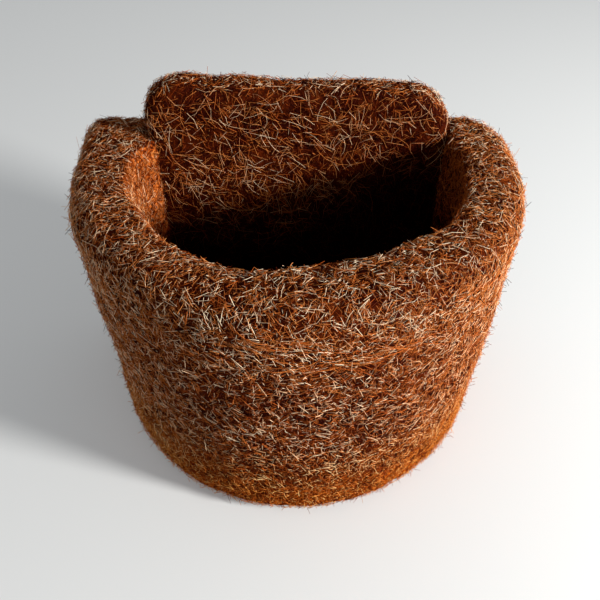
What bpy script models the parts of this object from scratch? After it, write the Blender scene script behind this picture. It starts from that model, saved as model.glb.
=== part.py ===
"""Fibre wall planter: a half-round pot of latex-bonded coconut fibre, in metres, +Z up.

A thick band of fibre mat is bent round in a D and bonded to a flat back panel and a floor pad.
The back lies against the wall (+Y), the rounded front faces -Y and the pot stands on z = 0.
"""
import math

import bmesh
import bpy
from mathutils import Vector

# Overall sizes
WIDTH = 0.200             # across the rim where the bend starts
DEPTH = 0.142             # from the flat back to the front of the rim
RIM_HEIGHT = 0.135        # floor to the crown of the rim
TOTAL_HEIGHT = 0.158      # floor to the top of the upstand

# The bent band: both sides and the front
SIDE_WALL = 0.027         # thickness at the rim, at the sides
FRONT_WALL = 0.0295       # thickness at the rim, at the front
SIDE_LENGTH = 0.041       # straight stretch of each side, from the back to the bend
SIDE_DRAFT = 0.008        # how far each outer side draws in from rim to foot
FRONT_DRAFT = 0.006       # the same, at the front
LEFT_SPLAY = 0.004        # how much the left side spreads outwards towards the back
BEND_POWER = 2.0          # 2 is an ellipse in plan, more is squarer
MOUTH_POWER = 2.25        # the same, for the mouth
RIM_ROUND = 0.012         # rounding from the outer wall over the rim
LIP_ROUND = 0.005         # rounding from the rim into the mouth
FOOT_ROUND = 0.008        # rounding under the outer wall
LEFT_CORNER = 0.004       # plan radius of the left shoulder's back corner
RIGHT_CORNER = 0.024      # and of the right one, which was pressed rounder
END_ROUND = 0.004         # softened edges of the band's two cut ends
CORNER_SHARE = 0.8        # a corner takes at most this share of the wall
EDGE_SHARE = 0.12         # and a softened edge this share
LEFT_FILL = 0.010         # how far the mouth's left back corner is filled in across the panel
RIGHT_FILL = 0.006        # and the right one
FILL_REACH = 0.016        # how far in front of the panel both fills run out
FILL_POWER = 1.6          # 1 is a straight bevel, more is hollower
FILL_STEP = 0.0002        # depth of the step where a fill ends against the panel

# The back panel with its upstand
PANEL_WIDTH = 0.140       # of the slot between the band's ends that it fills
PANEL_THICKNESS = 0.023
UPSTAND_SPREAD = 0.0015   # the free upstand swells this much wider than the slot, each side
UPSTAND_LEFT_RADIUS = 0.018
UPSTAND_RIGHT_RADIUS = 0.021
UPSTAND_FALL = 0.004      # the top edge drops this much from left to right
UPSTAND_EDGE = 0.007      # rounding of the upstand's front and back edges
PANEL_EDGE = 0.001        # the same where the panel is held between the band's ends

# The floor pad
BASE_THICKNESS = 0.024
BASE_EDGE = 0.002

# The wire bail at the back
WIRE_DIAMETER = 0.0025
BAIL_WIDTH = 0.036        # between the centres of its two legs
BAIL_FOOT = 0.034         # the legs enter the panel this far below its top
BAIL_RISE = 0.024         # from the legs to the top of the loop
LEG_DEPTH = 0.016         # how far each leg is pushed into the panel
LEG_BEND = 0.003          # radius of the bend from leg to loop, clear of the panel's face
LEG_SIDES = 16            # facets of the holes that the legs sit in

# Hand-formed unevenness of the mat: how far it strays, and its ripples as
# (share, ripples per radian, phase)
LIP_WAVE = 0.0036
WALL_WAVE = 0.0010
RIM_WAVE = 0.0014
TOP_WAVE = 0.0007
LIP_RIPPLES = ((0.8, 3.75, -5.43), (0.2, 11.0, 0.6))
MAT_RIPPLES = ((0.5, 2.0, 0.4), (0.3, 5.0, 1.5), (0.2, 9.0, 3.2))
WALL_TWIST = 3.0          # the outer ripples drift this many radians from foot to rim

GAP = 0.0003              # clearance between bonded pieces

# How finely the curves are cut
BEND_STEPS = 44
SIDE_STEPS = 5
ROUND_STEPS = 5
WALL_STEPS = 5
CORNER_STEPS = 8

BACK = DEPTH / 2
FRONT = -DEPTH / 2
SLOT_DEPTH = PANEL_THICKNESS + GAP
BEND_START = BACK - SIDE_LENGTH
MOUTH_HALF = WIDTH / 2 - SIDE_WALL
MOUTH_FRONT = FRONT + FRONT_WALL
PANEL_FRONT = BACK - PANEL_THICKNESS


def clear_scene():
    for item in list(bpy.data.objects):
        bpy.data.objects.remove(item, do_unlink=True)


def plain_material(name, colour, roughness=0.9, metallic=0.0):
    material = bpy.data.materials.new(name)
    material.use_nodes = True
    shader = material.node_tree.nodes["Principled BSDF"]
    shader.inputs["Base Color"].default_value = (*colour, 1.0)
    shader.inputs["Roughness"].default_value = roughness
    shader.inputs["Metallic"].default_value = metallic
    return material


def add_object(name, mesh, material):
    item = bpy.data.objects.new(name, mesh)
    bpy.context.scene.collection.objects.link(item)
    mesh.materials.append(material)
    return item


def smooth_step(low, high, value):
    share = min(max((value - low) / (high - low), 0.0), 1.0)
    return share * share * (3.0 - 2.0 * share)


def quarter(radius, steps=ROUND_STEPS):
    """Points of a quarter round as (inset, drop) pairs, from the flank up to the flat."""
    turns = [0.5 * math.pi * step / steps for step in range(steps + 1)]
    return [(radius * (1 - math.cos(t)), radius * (1 - math.sin(t))) for t in turns]


def end_inset(distance, radius):
    """How far a rounded end has drawn in, this far from the end's face."""
    if distance >= radius:
        return 0.0
    return radius - math.sqrt(radius ** 2 - (radius - distance) ** 2)


def hand_wave(turn, ripples=MAT_RIPPLES):
    """A slow, uneven wave round the pot, from about -1 to 1."""
    return sum(share * math.sin(rate * turn + phase) for share, rate, phase in ripples)


def band_stations():
    """Places along the D, from the right end round the front to the left end.

    Each is (side, distance from the back, angle round the bend)."""
    shares = [0.5 * (1 - math.cos(math.pi * step / SIDE_STEPS)) for step in range(SIDE_STEPS)]
    slot = [SLOT_DEPTH * (1 - math.cos(0.5 * math.pi * step / CORNER_STEPS))
            for step in range(CORNER_STEPS + 1)]
    fill_start = SLOT_DEPTH + FILL_STEP
    fill = [fill_start + (SIDE_LENGTH - fill_start) * share for share in shares]
    distances = slot + fill
    right = [(1, distance, 0.0) for distance in distances]
    left = [(-1, distance, math.pi) for distance in reversed(distances)]
    bend = [(0, SIDE_LENGTH, math.pi * step / BEND_STEPS) for step in range(BEND_STEPS + 1)]
    return right + bend + left


def plan_point(station, half_width, front, power):
    """One point of a D-shaped outline with the given half width, front and squareness."""
    side, distance, angle = station
    if side:
        return Vector((side * half_width, BACK - distance, 0.0))
    across = abs(math.cos(angle)) ** (2 / power) * math.copysign(1, math.cos(angle))
    forward = math.sin(angle) ** (2 / power)
    return Vector((across * half_width, BEND_START - forward * (BEND_START - front), 0.0))


def slot_point(station):
    """One point of the mouth's outline at the rim, or of the panel's slot behind it."""
    side, distance, _ = station
    point = plan_point(station, MOUTH_HALF, MOUTH_FRONT, MOUTH_POWER)
    if side == 0:
        return point
    if distance <= SLOT_DEPTH:
        point.x = side * PANEL_WIDTH / 2
        return point
    reach = min(FILL_REACH, SIDE_LENGTH - SLOT_DEPTH)
    share = min((distance - SLOT_DEPTH) / reach, 1.0)
    fill = RIGHT_FILL if side > 0 else LEFT_FILL
    point.x -= side * fill * (1.0 - share) ** FILL_POWER
    return point


def band_section():
    """The band's section as (share of the wall, offset, height) from foot over rim to mouth.

    The offset is measured from the outer face, or from the inner face when the share is 1."""
    section = []
    for inset, drop in reversed(quarter(FOOT_ROUND)):
        section.append((0.0, inset, drop))
    climb = RIM_HEIGHT - RIM_ROUND - FOOT_ROUND
    for step in range(1, WALL_STEPS):
        section.append((0.0, 0.0, FOOT_ROUND + climb * step / WALL_STEPS))
    for inset, drop in quarter(RIM_ROUND):
        section.append((0.0, inset, RIM_HEIGHT - drop))
    for inset, drop in reversed(quarter(LIP_ROUND)):
        section.append((1.0, inset, RIM_HEIGHT - drop))
    fall = RIM_HEIGHT - LIP_ROUND
    for step in range(1, WALL_STEPS + 1):
        section.append((1.0, 0.0, fall * (1 - step / WALL_STEPS)))
    return section


def drawn_in(station, wall):
    """How far the outer and inner faces draw in towards a rounded end, within the wall."""
    side, distance, _ = station
    if side == 0:
        return 0.0, 0.0
    corner = min(RIGHT_CORNER if side > 0 else LEFT_CORNER, CORNER_SHARE * wall)
    edge = min(END_ROUND, EDGE_SHARE * wall)
    return end_inset(distance, corner), end_inset(distance, edge)


def band_point(station, share, offset, height):
    """One point of the band, with its draft, its softened ends and its unevenness."""
    side, distance, angle = station
    climb = height / RIM_HEIGHT
    draft = 1.0 - climb
    outer = plan_point(station, WIDTH / 2 - SIDE_DRAFT * draft,
                       FRONT + FRONT_DRAFT * draft, BEND_POWER)
    if outer.x < 0.0:
        outer.x -= LEFT_SPLAY * smooth_step(0.0, BACK, outer.y)
    inner = slot_point(station)
    wall = (inner - outer).length
    across = (inner - outer) / wall
    bend = math.sin(angle) if side == 0 else 0.0
    turn = angle if side == 0 else angle - side * distance / (WIDTH / 2)
    out_draw, in_draw = drawn_in(station, wall)
    kept = offset * (wall - out_draw - in_draw) / wall
    if share == 0.0:
        wave = WALL_WAVE * hand_wave(turn + WALL_TWIST * climb)
        point = outer + across * (kept + out_draw + wave)
    else:
        near_rim = smooth_step(0.45, 0.95, climb)
        wave = LIP_WAVE * hand_wave(turn, LIP_RIPPLES) * smooth_step(0.2, 0.7, bend) * near_rim
        point = inner - across * (kept + in_draw + wave)
    upper = smooth_step(0.6, 1.0, climb)
    sunk = end_inset(distance, END_ROUND) if side else 0.0
    uneven = RIM_WAVE * 0.5 * (1 - hand_wave(turn))
    point.z = height - upper * (sunk + uneven)
    return point


def make_front_wall(material):
    """Skin the section along the D and close the two cut ends."""
    shape = bmesh.new()
    section = band_section()
    rings = []
    for station in band_stations():
        rings.append([shape.verts.new(band_point(station, *entry)) for entry in section])
    count = len(section)
    for ring, following in zip(rings, rings[1:]):
        for low in range(count):
            high = (low + 1) % count
            shape.faces.new((ring[low], ring[high], following[high], following[low]))
    shape.faces.new(rings[0])
    shape.faces.new(rings[-1])
    return finish(shape, "front_wall", material)


def finish(shape, name, material):
    bmesh.ops.remove_doubles(shape, verts=shape.verts, dist=1e-6)
    bmesh.ops.recalc_face_normals(shape, faces=shape.faces)
    mesh = bpy.data.meshes.new(name)
    shape.to_mesh(mesh)
    shape.free()
    item = add_object(name, mesh, material)
    mesh.shade_smooth()
    mesh.set_sharp_from_angle(angle=math.radians(40))
    return item


def top_height(across):
    """Height of the upstand's top edge, which falls to the right."""
    share = across / PANEL_WIDTH + 0.5
    dip = TOP_WAVE * (1 - hand_wave(4.0 * share))
    return TOTAL_HEIGHT - UPSTAND_FALL * share - dip * math.sin(math.pi * share)


def panel_outline():
    """The panel's face as (x, z) points, from the lower right up and over to the lower left."""
    held = PANEL_WIDTH / 2 - GAP
    levels = [RIM_HEIGHT * step / WALL_STEPS for step in range(WALL_STEPS + 1)]
    outline = [(held, level) for level in levels]
    half = held + UPSTAND_SPREAD
    right_top = top_height(half)
    left_top = top_height(-half)
    free = RIM_HEIGHT + UPSTAND_SPREAD
    for inset, drop in quarter(UPSTAND_RIGHT_RADIUS, CORNER_STEPS):
        if right_top - drop > free:
            outline.append((half - inset, right_top - drop))
    span_start = half - UPSTAND_RIGHT_RADIUS
    span = span_start + half - UPSTAND_LEFT_RADIUS
    for step in range(1, CORNER_STEPS):
        across = span_start - span * step / CORNER_STEPS
        outline.append((across, top_height(across)))
    for inset, drop in reversed(quarter(UPSTAND_LEFT_RADIUS, CORNER_STEPS)):
        if left_top - drop > free:
            outline.append((-half + inset, left_top - drop))
    outline += [(-held, level) for level in reversed(levels)]
    return outline


def inward_directions(outline):
    """Unit directions into the outline at each of its points."""
    directions = []
    count = len(outline)
    for place in range(count):
        before = Vector(outline[place]) - Vector(outline[place - 1])
        after = Vector(outline[(place + 1) % count]) - Vector(outline[place])
        first = Vector((-before.y, before.x)).normalized()
        second = Vector((-after.y, after.x)).normalized()
        mean = (first + second).normalized()
        directions.append(mean / max(mean.dot(second), 0.5))
    return directions


def edge_round(height):
    """The panel's edges are puffy on the upstand and plain where they are held."""
    share = smooth_step(RIM_HEIGHT - RIM_ROUND, RIM_HEIGHT + GAP, height)
    return PANEL_EDGE + (UPSTAND_EDGE - PANEL_EDGE) * share


def make_back_panel(material):
    """Loft the outline through the thickness, with its edges rounded front and back."""
    outline = panel_outline()
    directions = inward_directions(outline)
    turns = [0.5 * math.pi * step / ROUND_STEPS for step in range(ROUND_STEPS + 1)]
    shape = bmesh.new()
    rings = []
    for facing in (1, -1):
        for turn in (turns if facing > 0 else reversed(turns)):
            ring = []
            for (across, height), inward in zip(outline, directions):
                radius = edge_round(height)
                inset = radius * (1 - math.sin(turn))
                sunk = radius * (1 - math.cos(turn))
                depth = BACK - sunk if facing > 0 else PANEL_FRONT + sunk
                ring.append(shape.verts.new((across + inward.x * inset, depth,
                                             height + inward.y * inset)))
            rings.append(ring)
    count = len(outline)
    for ring, following in zip(rings, rings[1:]):
        for low in range(count):
            high = (low + 1) % count
            shape.faces.new((ring[low], ring[high], following[high], following[low]))
    shape.faces.new(rings[0])
    shape.faces.new(rings[-1])
    panel = finish(shape, "back_panel", material)
    for side in (-1, 1):
        bore_leg_hole(panel, side)
    return panel


def bore_leg_hole(panel, side):
    """Cut one of the two blind holes that the bail's legs are pushed into."""
    overshoot = LEG_DEPTH
    length = LEG_DEPTH + GAP + overshoot
    bpy.ops.mesh.primitive_cylinder_add(
        vertices=LEG_SIDES,
        radius=(WIRE_DIAMETER / 2 + GAP) / math.cos(math.pi / LEG_SIDES),
        depth=length,
        location=(side * BAIL_WIDTH / 2, BACK + overshoot - length / 2, bail_level()),
        rotation=(math.pi / 2, 0.0, 0.0))
    cutter = bpy.context.object
    cutter.name = "leg_hole_cutter"
    cutter.hide_render = True
    cutter.display_type = 'WIRE'
    cut = panel.modifiers.new("leg_hole", 'BOOLEAN')
    cut.operation = 'DIFFERENCE'
    cut.solver = 'EXACT'
    cut.object = cutter


def make_base_pad(material):
    """A D-shaped pad that fits inside the band and against the panel."""
    stations = [station for station in band_stations() if station[1] > SLOT_DEPTH]
    shape = bmesh.new()
    rings = []
    levels = [(BASE_EDGE, 0.0), (0.0, BASE_EDGE), (0.0, BASE_THICKNESS - BASE_EDGE),
              (BASE_EDGE, BASE_THICKNESS)]
    outline = [slot_point(station) for station in reversed(stations)]
    flat = [(point.x, point.y) for point in outline]
    inwards = inward_directions(flat)
    for inset, height in levels:
        ring = []
        for point, inward in zip(outline, inwards):
            drawn = Vector((point.x, point.y)) + inward * (GAP + inset)
            ring.append(shape.verts.new((drawn.x, drawn.y, height)))
        rings.append(ring)
    count = len(rings[0])
    for ring, following in zip(rings, rings[1:]):
        for low in range(count):
            high = (low + 1) % count
            shape.faces.new((ring[low], ring[high], following[high], following[low]))
    shape.faces.new(rings[0])
    shape.faces.new(rings[-1])
    return finish(shape, "base_pad", material)


def bail_level():
    """Height of the two legs where they enter the panel."""
    return TOTAL_HEIGHT - BAIL_FOOT


def bail_route():
    """Centre line of the wire: in from one leg, up, over the loop and back into the other."""
    half = BAIL_WIDTH / 2
    wire_plane = BACK + GAP + LEG_BEND
    level = bail_level()
    leg_tip = BACK - LEG_DEPTH
    shoulder = level + BAIL_RISE - half
    turns = [0.5 * math.pi * step / ROUND_STEPS for step in range(ROUND_STEPS + 1)]
    right = [Vector((half, leg_tip, level))]
    for turn in turns:
        out = wire_plane - LEG_BEND + LEG_BEND * math.sin(turn)
        up = level + LEG_BEND * (1 - math.cos(turn))
        right.append(Vector((half, out, up)))
    loop = []
    for step in range(2 * CORNER_STEPS + 1):
        angle = math.pi * step / (2 * CORNER_STEPS)
        loop.append(Vector((half * math.cos(angle), wire_plane, shoulder + half * math.sin(angle))))
    left = [Vector((-point.x, point.y, point.z)) for point in reversed(right)]
    return right + loop + left


def make_wire_hanger(material):
    route = bail_route()
    curve = bpy.data.curves.new("wire_hanger", 'CURVE')
    curve.dimensions = '3D'
    curve.bevel_depth = WIRE_DIAMETER / 2
    curve.bevel_resolution = 2
    curve.use_fill_caps = True
    spline = curve.splines.new('POLY')
    spline.points.add(len(route) - 1)
    for place, point in zip(spline.points, route):
        place.co = (*point, 1.0)
    item = bpy.data.objects.new("wire_hanger", curve)
    bpy.context.scene.collection.objects.link(item)
    curve.materials.append(material)
    return item


def stand_on_origin(pieces):
    """Move everything so that the origin is under the middle of the whole planter."""
    bpy.context.view_layer.update()
    graph = bpy.context.evaluated_depsgraph_get()
    corners = []
    for piece in pieces:
        mesh = piece.evaluated_get(graph).to_mesh()
        corners += [piece.matrix_world @ vertex.co for vertex in mesh.vertices]
    lows = [min(corner[axis] for corner in corners) for axis in range(3)]
    highs = [max(corner[axis] for corner in corners) for axis in range(3)]
    shift = Vector(((lows[0] + highs[0]) / 2, (lows[1] + highs[1]) / 2, lows[2]))
    for item in bpy.data.objects:
        item.location -= shift


def main():
    clear_scene()
    band_coir = plain_material("band_coir", (0.26, 0.095, 0.035))
    panel_coir = plain_material("panel_coir", (0.20, 0.066, 0.026))
    base_coir = plain_material("base_coir", (0.30, 0.125, 0.045))
    zinc_wire = plain_material("zinc_wire", (0.55, 0.56, 0.57), roughness=0.4, metallic=1.0)
    pieces = [
        make_front_wall(band_coir),
        make_back_panel(panel_coir),
        make_base_pad(base_coir),
        make_wire_hanger(zinc_wire),
    ]
    stand_on_origin(pieces)


main()
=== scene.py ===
# %% [markdown]
# # A wall planter of coconut fibre
#
# The planter is a thick mat of coir: coconut fibre sprayed with latex and pressed into shape. A
# band of mat is bent round in a D, bonded to a flat back panel that rises above the rim, and closed
# below by a floor pad. A wire bail at the back hangs it on a wall.
#
# What the eye sees is never the mat's surface itself, only the fibres that lie in it and over each
# other, more than two hundred thousand of them. So each mat is made in two layers here: a lumpy bed
# with the mat's true shape, dark with painted shade for the gaps between the fibres, and real
# fibres laid on that bed.

# %% Load the frame
import math

import bpy
import numpy as np
from mathutils import Matrix, Vector, noise
from mathutils.bvhtree import BVHTree


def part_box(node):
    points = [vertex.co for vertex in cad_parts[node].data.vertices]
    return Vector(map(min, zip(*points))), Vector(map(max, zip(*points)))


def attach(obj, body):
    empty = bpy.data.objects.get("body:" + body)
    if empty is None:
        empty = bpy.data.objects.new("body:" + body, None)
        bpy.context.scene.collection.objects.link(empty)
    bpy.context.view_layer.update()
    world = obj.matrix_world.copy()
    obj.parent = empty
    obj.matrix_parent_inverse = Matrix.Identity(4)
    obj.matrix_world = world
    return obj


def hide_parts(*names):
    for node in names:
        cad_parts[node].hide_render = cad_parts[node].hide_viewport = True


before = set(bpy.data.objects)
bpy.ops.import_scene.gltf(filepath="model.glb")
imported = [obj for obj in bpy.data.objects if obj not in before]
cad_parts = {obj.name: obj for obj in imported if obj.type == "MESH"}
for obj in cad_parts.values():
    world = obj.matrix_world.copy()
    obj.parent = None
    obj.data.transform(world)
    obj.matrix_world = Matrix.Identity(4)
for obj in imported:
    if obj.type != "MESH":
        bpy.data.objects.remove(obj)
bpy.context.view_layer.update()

MM = 0.001
boxes = {node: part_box(node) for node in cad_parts}


def sides(box):
    """The three sides of a box, given by its lowest and highest corner, in millimetres."""
    return [round((high - low) / MM, 1) for low, high in zip(*box)]


for node, box in boxes.items():
    print(node, sides(box), "mm")

# %% [markdown]
# ## The camera
#
# The photograph was taken from above the front, looking down at about 42 degrees. A phone's main
# camera sees about as wide as this lens, and the nearness shows in how strongly the sides
# run together towards the foot. The camera's place comes from matching the outline of the real
# pot, so it is given by its distances from the pot's own origin.

# %% Camera
PHOTO_PIXELS = 600
FOCAL_PIXELS = 700
CAMERA_PITCH = math.radians(42.27)     # how far it looks down
CAMERA_HEADING = math.radians(-0.26)   # how far the pot is turned in the photograph
CAMERA_BACK = 243.2 * MM               # in front of the origin
CAMERA_SIDE = 2.8 * MM
CAMERA_HEIGHT = 295.3 * MM
CAMERA_NEAR = 10 * MM                  # nothing nearer than this is drawn


def deselect():
    """Nothing selected, so that the next operator acts on its own object only."""
    if bpy.context.object and bpy.context.object.mode != 'OBJECT':
        bpy.ops.object.mode_set(mode='OBJECT')
    bpy.ops.object.select_all(action='DESELECT')


deselect()
camera_place = Vector((CAMERA_SIDE, -CAMERA_BACK, CAMERA_HEIGHT))
camera_place.rotate(Matrix.Rotation(CAMERA_HEADING, 3, 'Z'))
bpy.ops.object.camera_add(location=camera_place,
                          rotation=(math.pi / 2 - CAMERA_PITCH, 0.0, CAMERA_HEADING))
camera = bpy.context.object
camera.data.lens = camera.data.sensor_width * FOCAL_PIXELS / PHOTO_PIXELS
camera.data.clip_start = CAMERA_NEAR
bpy.context.scene.camera = camera
print("lens", round(camera.data.lens, 1), "mm")

# %% [markdown]
# ## Floor and light
#
# A plain pale floor. It glows a little for the camera and for reflections only, which its Light
# Path node tells apart, so the background gets as pale as it should be and the pot gets no light
# from it.
#
# Low light comes from the right and a little from the front, so it rakes over the rim, lights the
# left inner wall and leaves the mouth's depth in shade. Fibres show up as bright threads only
# where such a light grazes them. An even, pale sky fills in the rest.

# %% Helpers for materials
def new_material(name):
    """A material, its node tree and its Principled shader."""
    material = bpy.data.materials.new(name)
    material.use_nodes = True
    tree = material.node_tree
    return material, tree, tree.nodes["Principled BSDF"]


def add_math(tree, operation, first, second):
    """A math node's output; each input is a socket or a plain number."""
    node = tree.nodes.new('ShaderNodeMath')
    node.operation = operation
    for slot, value in enumerate((first, second)):
        if isinstance(value, (int, float)):
            node.inputs[slot].default_value = value
        else:
            tree.links.new(value, node.inputs[slot])
    return node.outputs[0]


# %% Floor
FLOOR_SIZE = 6.0
FLOOR_COLOUR = (0.645, 0.66, 0.66)
FLOOR_ROUGHNESS = 0.9
FLOOR_GLOW = 0.12
GLOW_COLOUR = (1.0, 1.0, 1.0)

deselect()
bpy.ops.mesh.primitive_plane_add(size=FLOOR_SIZE)
floor = bpy.context.object
floor.name = "floor"
floor_paint, floor_tree, floor_shader = new_material("pale_floor")
floor_shader.inputs["Base Color"].default_value = (*FLOOR_COLOUR, 1.0)
floor_shader.inputs["Roughness"].default_value = FLOOR_ROUGHNESS
floor_shader.inputs["Emission Color"].default_value = (*GLOW_COLOUR, 1.0)
seen_by = floor_tree.nodes.new('ShaderNodeLightPath')
glow = 0.0
for ray in ("Is Camera Ray", "Is Glossy Ray", "Is Transmission Ray"):
    glow = add_math(floor_tree, 'ADD', seen_by.outputs[ray], glow)
glow = add_math(floor_tree, 'MINIMUM', glow, 1.0)
glow = add_math(floor_tree, 'MULTIPLY', glow, FLOOR_GLOW)
floor_tree.links.new(glow, floor_shader.inputs["Emission Strength"])
floor.data.materials.append(floor_paint)
print("floor", FLOOR_SIZE, "m wide")

# %% Sky and key light
SKY_COLOUR = (0.96, 0.98, 1.0)
SKY_STRENGTH = 0.40
KEY_AIM = Vector((0.0, 0.0, 80 * MM))
KEY_DISTANCE = 1.1
KEY_SIZE = 0.20
KEY_ELEVATION = math.radians(17.6)
KEY_FRONTING = math.radians(24)        # towards the viewer from due right
KEY_POWER = 23.5
KEY_COLOUR = (1.0, 0.98, 0.95)

world = bpy.data.worlds.new("pale_sky")
world.use_nodes = True
sky = world.node_tree.nodes["Background"]
sky.inputs["Color"].default_value = (*SKY_COLOUR, 1.0)
sky.inputs["Strength"].default_value = SKY_STRENGTH
bpy.context.scene.world = world

key_direction = Vector((math.cos(KEY_ELEVATION) * math.cos(KEY_FRONTING),
                        -math.cos(KEY_ELEVATION) * math.sin(KEY_FRONTING),
                        math.sin(KEY_ELEVATION)))
bpy.ops.object.light_add(type='AREA', location=KEY_AIM + key_direction * KEY_DISTANCE)
key = bpy.context.object
key.name = "key_light"
key.data.shape = 'DISK'
key.data.size = KEY_SIZE
key.data.energy = KEY_POWER
key.data.color = KEY_COLOUR
key.rotation_euler = key_direction.to_track_quat('Z', 'Y').to_euler()
bpy.context.scene.view_settings.view_transform = 'Standard'
print("key light at", [round(value, 2) for value in key.location])

# %% [markdown]
# ## The colour of coir
#
# One mat holds fibres from dark umber to straw, most of them rust brown. An image of real coir
# could give that, but would stretch and repeat. Here each fibre carries two numbers of its own
# instead: its tint, which picks a colour on a ramp, and its shade, a painted shade that is low for
# a fibre that lies deep in the mat. The lower part of the pot is more ochre, so the group also
# reads the height on the pot. It is a node group because the beds and the fibres both use it.

# %% Helpers for shader patterns
def new_group(name, inputs, outputs):
    """A shader node group with (name, socket type, value) inputs and (name, type) outputs."""
    group = bpy.data.node_groups.new(name, 'ShaderNodeTree')
    for socket, kind, value in inputs:
        made = group.interface.new_socket(socket, in_out='INPUT', socket_type=kind)
        made.default_value = value
    for socket, kind in outputs:
        group.interface.new_socket(socket, in_out='OUTPUT', socket_type=kind)
    return group


def add_noise(tree, scale, detail, warp=0.0):
    """A cloudy noise that is fixed to the object, mostly between 0.3 and 0.7."""
    place = tree.nodes.new('ShaderNodeTexCoord')
    cloud = tree.nodes.new('ShaderNodeTexNoise')
    cloud.inputs["Scale"].default_value = scale
    cloud.inputs["Detail"].default_value = detail
    cloud.inputs["Distortion"].default_value = warp
    tree.links.new(place.outputs["Object"], cloud.inputs["Vector"])
    return cloud.outputs["Fac"]


def add_range(tree, value, source=(0.0, 1.0), target=(0.0, 1.0)):
    """A value carried over from one range to another."""
    carried = tree.nodes.new('ShaderNodeMapRange')
    names = ("From Min", "From Max", "To Min", "To Max")
    for name, number in zip(names, (*source, *target)):
        carried.inputs[name].default_value = number
    tree.links.new(value, carried.inputs["Value"])
    return carried.outputs["Result"]


def add_ramp(tree, value, stops):
    """The colour that a value picks between (position, colour) stops."""
    ramp = tree.nodes.new('ShaderNodeValToRGB')
    elements = ramp.color_ramp.elements
    while len(elements) < len(stops):
        elements.new(0.5)
    for element, (position, colour) in zip(elements, stops):
        element.position = position
        element.color = (*colour, 1.0)
    tree.links.new(value, ramp.inputs["Fac"])
    return ramp.outputs["Color"]


# %% Colour group
COIR_STOPS = (
    (0.00, (0.030, 0.003, 0.001)),
    (0.25, (0.210, 0.030, 0.003)),
    (0.50, (0.640, 0.155, 0.022)),
    (0.75, (0.860, 0.345, 0.095)),
    # partly a painted highlight: the palest stop also stands in for glints
    (1.00, (0.985, 0.820, 0.590)),
)
PATCH_SCALE, PATCH_DETAIL = 55.0, 2.0  # slow patches, about 2 cm wide, shift the tint
FIBRE_PATCHES = 0.18                   # how much they shift it
OCHRE = (1.00, 1.00, 0.60)             # what the foot's colours are multiplied by
OCHRE_HEIGHTS = (55 * MM, 15 * MM)     # from none of it to all of it
SHADE_POWERS = (1.0, 1.5, 1.9)         # green and blue fall faster, so deep fibres are redder
MIX_SHARE, MIX_FIRST, MIX_SECOND, MIX_RESULT = 0, 6, 7, 2   # a colour mix node's sockets


def coir_tones():
    """The group: patches shift the tint, the ramp colours it, and foot and depth change that."""
    group = new_group("coir_tones", [
        ("Tint", 'NodeSocketFloat', 0.5),
        ("Shade", 'NodeSocketFloat', 1.0),
        ("Patches", 'NodeSocketFloat', FIBRE_PATCHES),
    ], [("Color", 'NodeSocketColor')])
    nodes, links = group.nodes, group.links
    entry = nodes.new('NodeGroupInput')
    leave = nodes.new('NodeGroupOutput')

    patches = add_noise(group, PATCH_SCALE, PATCH_DETAIL)
    centred = add_math(group, 'SUBTRACT', patches, 0.5)
    weighed = add_math(group, 'MULTIPLY', centred, entry.outputs["Patches"])
    tint = add_math(group, 'ADD', entry.outputs["Tint"], weighed)
    picked = add_ramp(group, tint, COIR_STOPS)

    place = nodes.new('ShaderNodeTexCoord')
    split = nodes.new('ShaderNodeSeparateXYZ')
    links.new(place.outputs["Object"], split.inputs["Vector"])
    ochre = nodes.new('ShaderNodeMix')
    ochre.data_type = 'RGBA'
    ochre.blend_type = 'MULTIPLY'
    links.new(add_range(group, split.outputs["Z"], OCHRE_HEIGHTS), ochre.inputs[MIX_SHARE])
    links.new(picked, ochre.inputs[MIX_FIRST])
    ochre.inputs[MIX_SECOND].default_value = (*OCHRE, 1.0)

    dimmed = nodes.new('ShaderNodeCombineXYZ')
    for channel, power in zip("XYZ", SHADE_POWERS):
        raised = add_math(group, 'POWER', entry.outputs["Shade"], power)
        links.new(raised, dimmed.inputs[channel])
    shaded = nodes.new('ShaderNodeVectorMath')
    shaded.operation = 'MULTIPLY'
    links.new(ochre.outputs[MIX_RESULT], shaded.inputs[0])
    links.new(dimmed.outputs["Vector"], shaded.inputs[1])
    links.new(shaded.outputs["Vector"], leave.inputs["Color"])
    return group


COIR_TONES = coir_tones()
print("colour group:", len(COIR_TONES.nodes), "nodes")

# %% [markdown]
# ## Two materials of coir
#
# A fibre's skin is dull, with a trace of gloss from the latex. Its colour comes from the group and
# from the two numbers on its vertices, so one material serves all fibres.
#
# The bed shows only in the gaps between them. It reads the same group, but has no strands of its
# own, so a fine, warped noise stands in for them, in the tint and as bumps. Without it the gaps
# would look like brown paint.

# %% Material of the fibres
FIBRE_ROUGHNESS = 0.50
FIBRE_GLOSS = 0.05                     # of the shader's specular level


def read_attribute(tree, name):
    """The number that each vertex carries under this name."""
    reader = tree.nodes.new('ShaderNodeAttribute')
    reader.attribute_name = name
    return reader.outputs["Fac"]


def add_tones(tree, shader, tint):
    """The colour group, fed with a tint and the vertices' shade, as the shader's colour."""
    tones = tree.nodes.new('ShaderNodeGroup')
    tones.node_tree = COIR_TONES
    tree.links.new(tint, tones.inputs["Tint"])
    tree.links.new(read_attribute(tree, "shade"), tones.inputs["Shade"])
    tree.links.new(tones.outputs["Color"], shader.inputs["Base Color"])
    return tones


def fibre_material():
    material, tree, shader = new_material("coir_fibre")
    shader.inputs["Roughness"].default_value = FIBRE_ROUGHNESS
    shader.inputs["Specular IOR Level"].default_value = FIBRE_GLOSS
    add_tones(tree, shader, read_attribute(tree, "tint"))
    return material


COIR_FIBRE = fibre_material()
print(COIR_FIBRE.name, len(COIR_FIBRE.node_tree.nodes), "nodes")

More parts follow.
